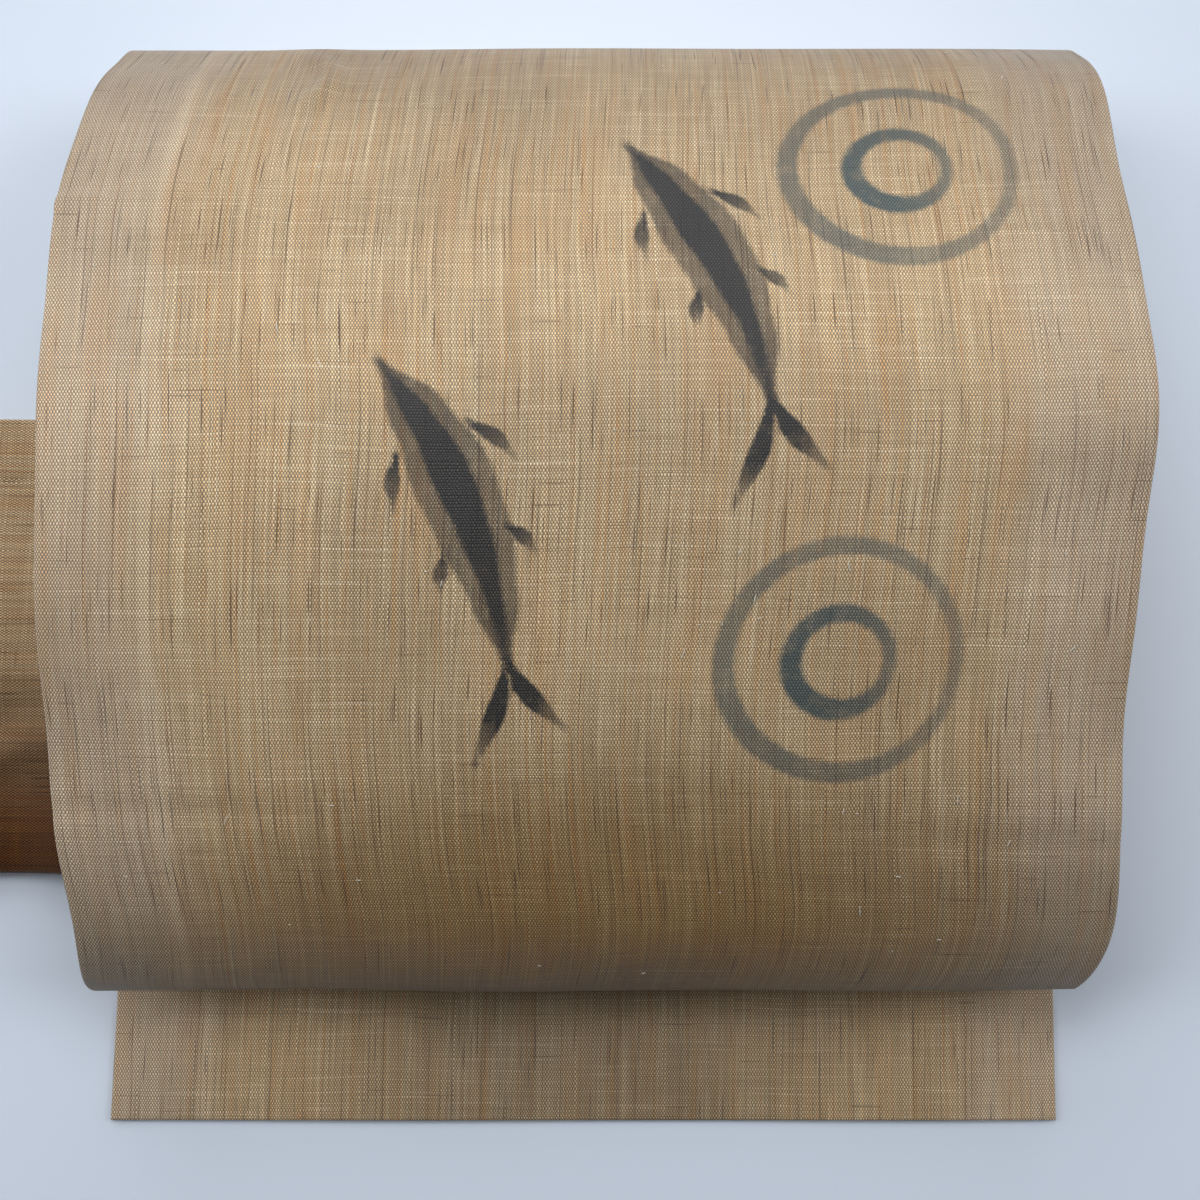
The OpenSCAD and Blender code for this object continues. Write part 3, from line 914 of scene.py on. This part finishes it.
def face_silk(name, painted, tones, dots, gloss, painted_shade_edge=None):
    """Slubby raw silk: every warp thread has its own brown, and here and there one runs thick
    and dark or pale. tones is a dictionary of colours and dots is how dark and how pale the
    weave shows. Towards the negative side of the cloth the colour is darkened by painted shade,
    to the share of each colour that the last argument gives."""
    n = Nodes(name)
    u, v = n.cloth()
    tone = {key: rgb(*value) for key, value in tones.items()}
    sway = n.math("MULTIPLY", n.math("SUBTRACT", n.noise(u, v, 0.01, 0.016, 2), 0.5), 2.6)
    us = n.math("ADD", u, sway)
    spacing = n.math("MULTIPLY", n.math("SUBTRACT", n.noise(us, v, 0.5, 0.006, 2, seed=17), 0.5), 0.7)
    us = n.math("ADD", us, spacing)
    sag = n.math("MULTIPLY", n.math("SUBTRACT", n.noise(u, v, 0.014, 0.01, 2, seed=4), 0.5), 3.6)
    vs = n.math("ADD", v, sag)
    spacing = n.math("MULTIPLY", n.math("SUBTRACT", n.noise(u, vs, 0.01, 0.3, 2, seed=18), 0.5), 1.2)
    vs = n.math("ADD", vs, spacing)

    fine = n.noise(us, v, 2.2, 0.014, 3, 0.7, seed=1)
    broad = n.noise(us, v, 0.42, 0.005, 3, 0.75, seed=2)
    rust = n.noise(us, v, 0.9, 0.008, 3, 0.7, seed=3)
    long_slub = n.noise(us, v, 1.9, 0.011, 1, 0.5, seed=16)
    slub = n.noise(us, v, 2.0, 0.036, 1, 0.5, seed=5)
    pale = n.noise(us, v, 1.7, 0.018, 2, 0.6, seed=6)
    weft = n.noise(u, vs, 0.02, 1.3, 3, 0.7, seed=7)
    weft_band = n.noise(u, vs, 0.012, 0.16, 3, 0.6, seed=8)
    weft_slub = n.noise(u, vs, 0.05, 1.4, 1, 0.5, seed=9)
    cloud = n.noise(u, v, 0.014, 0.016, 3, 0.5, seed=10)

    color = n.mix(n.ramp(fine, 0.34, 0.66), tone["dark"], tone["light"])
    color = n.mix(n.ramp(broad, 0.42, 0.62, 0, 0.75), color, tone["brown"])
    color = n.mix(n.ramp(rust, 0.50, 0.68, 0, 0.85), color, tone["rust"])
    color = n.mix(n.ramp(pale, 0.56, 0.72, 0, 0.45), color, tone["pale"])
    color = n.mix(n.ramp(weft, 0.50, 0.66, 0, 0.60), color, tone["brown"])
    color = n.mix(n.ramp(weft, 0.46, 0.30, 0, 0.45), color, tone["pale"])
    color = n.mix(n.ramp(weft_band, 0.50, 0.68, 0, 0.30), color, tone["brown"])
    # painted sheen: the colour turns greyer towards both edges of the cloth
    sheen_rim = n.math("MULTIPLY_ADD", n.math("SUBTRACT", cloud, 0.5), 34, n.math("ABSOLUTE", u))
    color = n.mix(n.ramp(sheen_rim, 110, 136, 0, 0.42), color, tone["grey"])
    stripe = n.math("ABSOLUTE", n.math("ADD", us, 124))
    color = n.mix(n.ramp(stripe, 3.4, 1.2, 0, 0.20), color, tone["pale"])
    blotch = n.noise(us, v, 0.12, 0.012, 3, 0.6, seed=15)
    color = n.mix(n.ramp(blotch, 0.46, 0.68, 0, 0.30), color, tone["rust"])
    color = n.mix(n.ramp(long_slub, 0.63, 0.70, 0, 0.55), color, tone["slub"])
    color = n.mix(n.ramp(slub, 0.655, 0.73, 0, 0.85), color, tone["slub"])
    color = n.mix(n.ramp(weft_slub, 0.70, 0.76, 0, 0.50), color, tone["slub"])

    over, height, gap = weave(n, us, vs)
    if painted:
        color = paint_ink(n, color, over, u, v, us, vs)
    if not painted_shade_edge:
        # painted sheen: the weave's dots are painted fainter towards the drum's top fold, where the
        # light grazes
        over = n.math("MULTIPLY", over, n.ramp(v, S_CROWN - 140, S_CROWN + 40, 0.55, 1))
    shade = n.math("MULTIPLY", n.ramp(gap, 0.0, 1.0, 0.58, 1.0),
                   n.ramp(over, -0.9, 0.9, *dots))
    shade = n.math("MULTIPLY", shade, n.ramp(cloud, 0.3, 0.7, 0.90, 1.08))
    if painted_shade_edge:
        # painted shade: the band darkens towards its front edge, which turns away from the light
        edge_shade = n.mix(n.ramp(u, -70, 25), rgb(*painted_shade_edge), rgb(1, 1, 1))
        color = n.mix(1.0, color, edge_shade, "MULTIPLY")
    else:
        # painted light and shade over the drum and the tare
        shade = n.math("MULTIPLY", shade, painted_light_and_shade(n, u, v))
        # a painted shadow: the colour is tinted a deeper brown low on the drum's front
        painted_shadow_tint = n.mix(patch(n, u, v, PAINTED_SHADOW_PATCH, 0, 1), rgb(1, 1, 1), rgb(*PAINTED_SHADOW_TINT))
        color = n.mix(1.0, color, painted_shadow_tint, "MULTIPLY")
    color = n.mix(1.0, color, shade, "MULTIPLY")

    lumps = n.math("MULTIPLY_ADD", n.ramp(slub, 0.64, 0.76), 1.6, height)
    lumps = n.math("MULTIPLY_ADD", n.ramp(weft, 0.55, 0.75), 0.7, lumps)
    lumps = n.math("MULTIPLY_ADD", n.ramp(pale, 0.6, 0.75), 0.7, lumps)
    n.bump(lumps, 0.11, 0.85)
    return n.finish(color, n.ramp(fine, 0.3, 0.7, 0.50, 0.66), Specular_IOR_Level=gloss[0],
                    Sheen_Weight=gloss[1], Sheen_Roughness=0.45)


def paint_ink(n, color, over, u, v, us, vs):
    """Lays the water rings and the fish over the cloth's colour. The ink frays along the threads."""
    speckle = n.noise(us, vs, 1.3, 0.8, 2, 0.6, seed=11)
    pool = n.noise(u, v, 0.13, 0.13, 3, 0.6, seed=12)
    fray = n.math("MULTIPLY_ADD", n.noise(us, vs, 2.4, 0.45, 2, 0.6, seed=13), 0.65,
                  n.math("MULTIPLY", n.noise(us, vs, 0.4, 1.6, 2, seed=14), 0.35))
    grain = n.math("MULTIPLY", n.ramp(speckle, 0.25, 0.6, 0.80, 1.0),
                   n.ramp(pool, 0.3, 0.62, 0.66, 1.1))
    water = n.math("MULTIPLY", ink_cover(n, "water", n.ramp(grain, 0.4, 1.0, 0.74, 1.04), fray), 0.92)
    color = n.mix(water, color, rgb(*WATER_BLUE))
    bare = 1.0
    for layer in FISH_LAYERS:
        cover = ink_cover(n, "ink_" + layer, n.ramp(grain, 0.4, 1.0, 0.82, 1.06), fray)
        bare = n.math("MULTIPLY", n.math("SUBTRACT", 1.0, n.math("MINIMUM", cover, 1.0)), bare)
    ink = n.math("SUBTRACT", 1.0, bare)
    ink = n.math("MULTIPLY", ink, n.ramp(over, 0.4, 1.0, 0.985, 0.90))
    return n.mix(ink, color, rgb(*INK_BLACK))


def plain_cloth(name, colors, warp, weft, open_weave, rough, depth):
    """Plain cloth in three close colours. warp and weft are the thread spacings, open_weave is
    how dark the gaps between threads are, and depth is how far the threads stand out."""
    n = Nodes(name)
    u, v = n.cloth()
    over, height, gap = weave(n, u, v, warp, weft)
    fine = n.noise(u, v, 1.8, 0.03, 3, 0.6, seed=21)
    across = n.noise(u, v, 0.03, 1.4, 3, 0.6, seed=22)
    color = n.mix(n.ramp(fine, 0.35, 0.65), rgb(*colors[0]), rgb(*colors[1]))
    color = n.mix(n.ramp(across, 0.5, 0.7, 0, 0.4), color, rgb(*colors[2]))
    color = n.mix(1.0, color, n.ramp(gap, 0.0, 0.8, open_weave, 1.0), "MULTIPLY")
    n.bump(height, depth, 0.8)
    return n.finish(color, rough, Specular_IOR_Level=0.25, Sheen_Weight=0.15)


def thread_material(name, color):
    n = Nodes(name)
    u, v = n.cloth()
    twist = n.math("SINE", n.math("MULTIPLY", n.math("ADD", u, v), 14))
    tint = n.mix(n.ramp(twist, -1, 1), rgb(*[c * 0.8 for c in color]), rgb(*color))
    n.bump(twist, 0.05, 0.6)
    return n.finish(tint, 0.55, Sheen_Weight=0.2)


def foam_material(name):
    n = Nodes(name)
    u, v = n.cloth()
    cells = n.noise(u, v, 1.1, 1.1, 3, 0.7, seed=31)
    color = n.mix(n.ramp(cells, 0.35, 0.65), rgb(0.60, 0.53, 0.34), rgb(0.78, 0.72, 0.52))
    n.bump(cells, 0.4, 0.7)
    return n.finish(color, 0.9)


def floor_material():
    n = Nodes("pale_floor")
    where = n.add("ShaderNodeTexCoord").outputs["Object"]
    grain = n.add("ShaderNodeTexNoise", Scale=6.0, Detail=2.0)
    n.put(grain.inputs["Vector"], where)
    color = n.mix(grain.outputs["Fac"], rgb(0.745, 0.775, 0.805), rgb(0.765, 0.795, 0.825))
    return n.finish(color, 0.6)


FACE_TONES = {
    "dark": (0.350, 0.236, 0.118), "light": (0.620, 0.448, 0.245), "brown": (0.405, 0.265, 0.128),
    "rust": (0.455, 0.235, 0.080), "pale": (0.800, 0.630, 0.405), "grey": (0.465, 0.362, 0.265),
    "slub": (0.095, 0.035, 0.010),
}
BAND_TONES = {key: (0.94 * r, 0.90 * g, 0.88 * b) for key, (r, g, b) in FACE_TONES.items()}
# the painted shade that darkens the band towards its front edge
BAND_PAINTED_SHADE = (0.25, 0.12, 0.012)
LINING_COLORS = [(0.44, 0.34, 0.23), (0.52, 0.42, 0.29), (0.40, 0.31, 0.21)]
COTTON_COLORS = [(0.70, 0.66, 0.56), (0.78, 0.75, 0.66), (0.60, 0.56, 0.46)]
GAUZE_COLORS = [(0.76, 0.75, 0.72), (0.84, 0.83, 0.80), (0.70, 0.69, 0.66)]
INK_BLACK = (0.011, 0.010, 0.008)
WATER_BLUE = (0.072, 0.084, 0.070)


def dress(pieces, material):
    for piece in pieces:
        piece.data.materials.clear()
        piece.data.materials.append(material)


# ---- Assembly ----

face, core, lining = make_bow()
seams = list(make_seams())
sleeve, band_core, te_seam, tacks = make_band()
cover, foam = make_pillow()
ties = [make_tie(side) for side in (-1, 1)]
fibres = make_fibres(np.random.default_rng(7))

dress([face], face_silk("painted_tsumugi", True, FACE_TONES, FACE_DOTS, FACE_GLOSS))
dress([sleeve], face_silk("band_tsumugi", False, BAND_TONES, BAND_DOTS, BAND_GLOSS, BAND_PAINTED_SHADE))
dress([lining], plain_cloth("lining_weave", LINING_COLORS, 0.3, 0.4, 0.7, 0.6, 0.07))
dress([core, band_core], plain_cloth("interlining_weave", COTTON_COLORS, 0.8, 0.8, 0.6, 0.85, 0.12))
dress([cover, *[tie for tie, _ in ties]],
      plain_cloth("gauze_weave", GAUZE_COLORS, 0.7, 0.7, 0.62, 0.85, 0.10))
dress([foam], foam_material("pillow_foam"))
dress([*seams, te_seam, tacks], thread_material("sewing_thread", (0.72, 0.62, 0.46)))
dress([fibres], thread_material("loose_silk", (0.74, 0.66, 0.52)))


# ---- Stage, lights and camera ----

def make_floor():
    bpy.ops.mesh.primitive_plane_add(size=6)
    floor = bpy.context.object
    floor.name = "floor"
    floor.data.materials.append(floor_material())


SKY = (0.93, 1.0, 1.12)
LIGHTS = [
    # name, place, aim, size, spread in degrees, watts
    ("window", (-0.5, 3.4, 1.9), (0, 0, 0.03), (2.8, 1.4), 180, 58),
    ("left", (-1.3, 0.3, 1.0), (0, 0, 0.03), (0.9, 1.2), 180, 12.0),
    ("right", (1.3, 0.3, 1.0), (0, 0, 0.03), (0.9, 1.2), 180, 12.8),
    ("near", (-0.03, 0.2, 0.48), (-0.01, 0.05, 0.03), (0.25, 0.2), 120, 0.45),
]
ROOM_STRENGTH = 0.05


def make_lights():
    for name, place, aim, size, spread, watts in LIGHTS:
        data = bpy.data.lights.new(name, "AREA")
        data.shape = "RECTANGLE"
        data.size, data.size_y = size
        data.spread = math.radians(spread)
        data.energy = watts
        data.color = SKY
        lamp = bpy.data.objects.new(name, data)
        lamp.location = place
        lamp.rotation_euler = (Vector(aim) - lamp.location).to_track_quat("-Z", "Y").to_euler()
        bpy.context.scene.collection.objects.link(lamp)
    world = bpy.data.worlds.new("room")
    world.use_nodes = True
    room = world.node_tree.nodes["Background"]
    room.inputs["Color"].default_value = (*SKY, 1)
    room.inputs["Strength"].default_value = ROOM_STRENGTH
    bpy.context.scene.world = world


def make_camera():
    data = bpy.data.cameras.new("camera")
    data.lens = 39.0
    data.sensor_width = 36.0
    data.clip_start = 0.01
    camera = bpy.data.objects.new("camera", data)
    camera.location = (0.0025, -0.070, 0.444)
    camera.rotation_euler = Vector((0, 0.1115, -0.9938)).to_track_quat("-Z", "Y").to_euler()
    bpy.context.scene.collection.objects.link(camera)
    bpy.context.scene.camera = camera


make_floor()
make_lights()
bpy.context.scene.view_settings.view_transform = "Standard"
make_camera()
